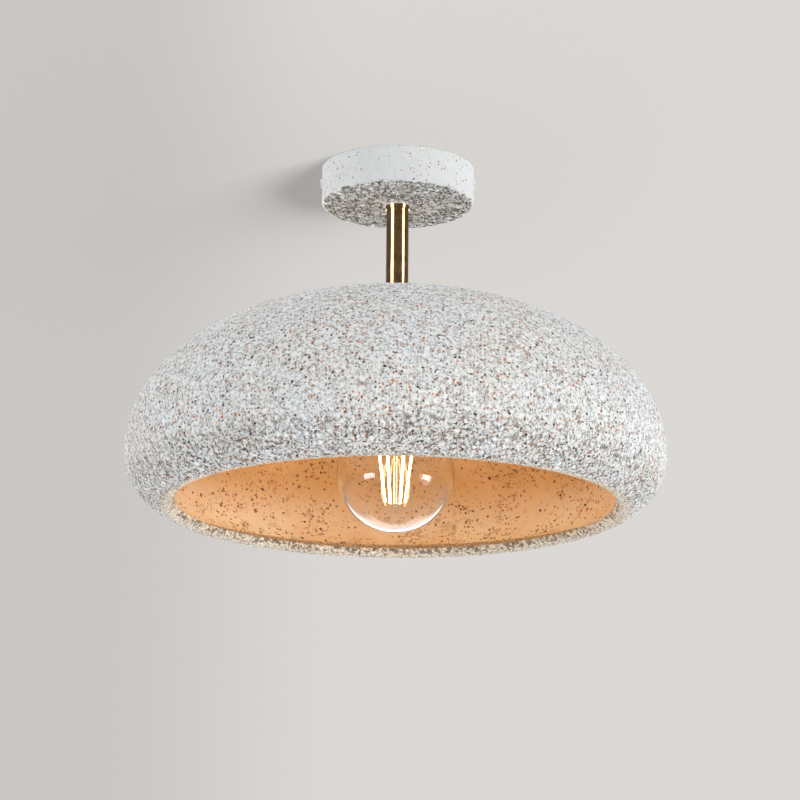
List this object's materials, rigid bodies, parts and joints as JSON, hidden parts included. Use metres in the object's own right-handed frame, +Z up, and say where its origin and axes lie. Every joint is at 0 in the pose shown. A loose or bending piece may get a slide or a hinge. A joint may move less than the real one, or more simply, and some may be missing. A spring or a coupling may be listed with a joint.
{
  "type": "semi-flush ceiling light",
  "caption": "Ceiling light with a wide stone-effect dome shade, a round canopy, a short brass stem and a clear globe bulb that unscrews.",
  "frame": {"origin": "centre of the bracket's slots on the ceiling plane, above the middle of the canopy", "axes": "+Z up into the ceiling, so the light hangs down; X runs along the bracket, through the side screws"},
  "size_m": [0.435, 0.4349, 0.304],
  "materials": {
    "cast_stone": "matte",
    "zinc_steel": "satin",
    "painted_screw": "matte",
    "block_plastic": "satin",
    "plain_brass": "satin",
    "aged_brass": "satin",
    "gasket_rubber": "matte",
    "black_plastic": "satin",
    "white_ceramic": "gloss",
    "brown_wire": "satin",
    "blue_wire": "satin",
    "green_wire": "satin",
    "black_glass": "gloss",
    "nickel_cap": "satin",
    "clear_glass": "polished",
    "filament": "matte"
  },
  "bodies": {
    "fixture": {"canopy": "cast_stone", "ceiling_bracket": "zinc_steel", "canopy_screws": "painted_screw", "terminal_block": "block_plastic", "terminal_sleeves": "plain_brass", "terminal_screws": "zinc_steel", "block_screws": "zinc_steel", "earth_tag": "zinc_steel", "earth_screw": "plain_brass", "rod_washer": "zinc_steel", "rod_locknut": "zinc_steel", "threaded_rod": "zinc_steel", "stem_collar": "aged_brass", "stem_sleeve": "aged_brass", "stem_foot": "aged_brass", "shade": "cast_stone", "shade_gasket": "gasket_rubber", "shade_clamp_plate": "zinc_steel", "shade_locknut": "zinc_steel", "lampholder_cap": "aged_brass", "lampholder_skirt": "black_plastic", "lampholder_body": "white_ceramic", "lampholder_posts": "plain_brass", "lampholder_shell": "plain_brass", "lampholder_contact": "plain_brass", "live_wire": "brown_wire", "neutral_wire": "blue_wire", "earth_wire": "green_wire"},
    "bulb_tip": {"bulb_tip_contact": "plain_brass"},
    "bulb": {"bulb_insulator": "black_glass", "bulb_screw_cap": "nickel_cap", "bulb_glass": "clear_glass", "bulb_glass_mount": "clear_glass", "bulb_filaments": "filament", "bulb_supports": "nickel_cap"}
  },
  "joints": [
    {"name": "bulb_travel", "type": "slide", "parent": "fixture", "child": "bulb_tip", "axis": [0, 0, -1], "range_m": [0, 0.01996]},
    {"name": "bulb_turn", "type": "hinge", "parent": "bulb_tip", "child": "bulb", "pos_m": [0, 0, -0.18], "axis": [0, 0, -1], "range_deg": [0, 1980]}
  ],
  "couplings": [
    {"joint": "bulb_travel", "follows": "bulb_turn", "m_per_rad": 0.0005775}
  ]
}
